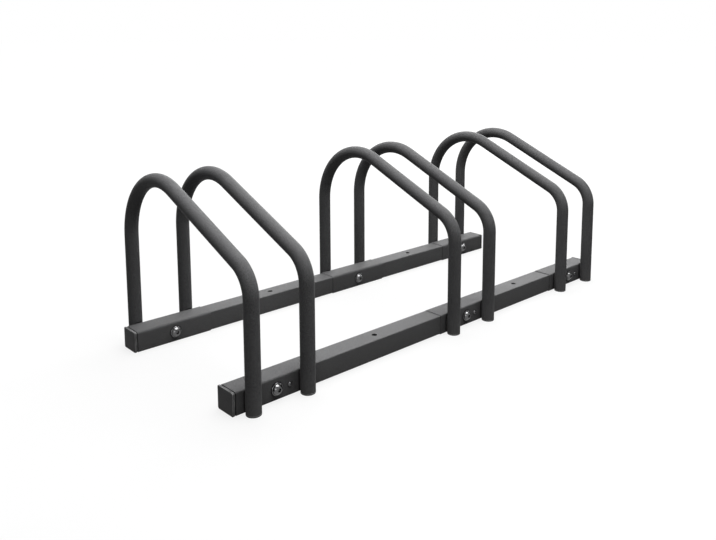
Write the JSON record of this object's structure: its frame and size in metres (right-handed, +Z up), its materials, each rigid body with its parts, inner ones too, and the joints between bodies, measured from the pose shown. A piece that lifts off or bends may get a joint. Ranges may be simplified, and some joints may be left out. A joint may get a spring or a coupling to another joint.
{
  "type": "floor bike rack",
  "caption": "Low floor rack that holds bicycles by a wheel between pairs of bent tube hoops, which stand on parallel rectangular rails.",
  "frame": {"origin": "middle of the rack's box, on the floor that the leg plugs stand on", "axes": "+X along the rails to the right as seen from the front, +Y to the rear with the tall hoop legs, +Z up"},
  "size_m": [0.7822, 0.33, 0.2668],
  "materials": {
    "powder_coated_steel": "satin black powder coat with a fine texture",
    "moulded_plastic": "matt black moulded plastic",
    "zinc_hardware": "black zinc-plated steel"
  },
  "bodies": {
    "root": {"module_1_left_hoop": "powder_coated_steel", "module_1_left_front_plug": "moulded_plastic", "module_1_left_rear_plug": "moulded_plastic", "module_1_right_hoop": "powder_coated_steel", "module_1_right_front_plug": "moulded_plastic", "module_1_right_rear_plug": "moulded_plastic", "module_1_front_sleeve": "powder_coated_steel", "module_1_rear_sleeve": "powder_coated_steel", "module_1_welds": "powder_coated_steel", "module_2_left_hoop": "powder_coated_steel", "module_2_left_front_plug": "moulded_plastic", "module_2_left_rear_plug": "moulded_plastic", "module_2_right_hoop": "powder_coated_steel", "module_2_right_front_plug": "moulded_plastic", "module_2_right_rear_plug": "moulded_plastic", "module_2_front_sleeve": "powder_coated_steel", "module_2_rear_sleeve": "powder_coated_steel", "module_2_welds": "powder_coated_steel", "module_3_left_hoop": "powder_coated_steel", "module_3_left_front_plug": "moulded_plastic", "module_3_left_rear_plug": "moulded_plastic", "module_3_right_hoop": "powder_coated_steel", "module_3_right_front_plug": "moulded_plastic", "module_3_right_rear_plug": "moulded_plastic", "module_3_front_sleeve": "powder_coated_steel", "module_3_rear_sleeve": "powder_coated_steel", "module_3_welds": "powder_coated_steel", "front_rail": "powder_coated_steel", "front_rail_left_cap": "moulded_plastic", "front_rail_right_cap": "moulded_plastic", "rear_rail": "powder_coated_steel", "rear_rail_left_cap": "moulded_plastic", "rear_rail_right_cap": "moulded_plastic", "frame_bolts": "zinc_hardware", "bolt_washers": "zinc_hardware", "frame_nuts": "zinc_hardware", "lock_screws": "zinc_hardware"}
  },
  "joints": []
}
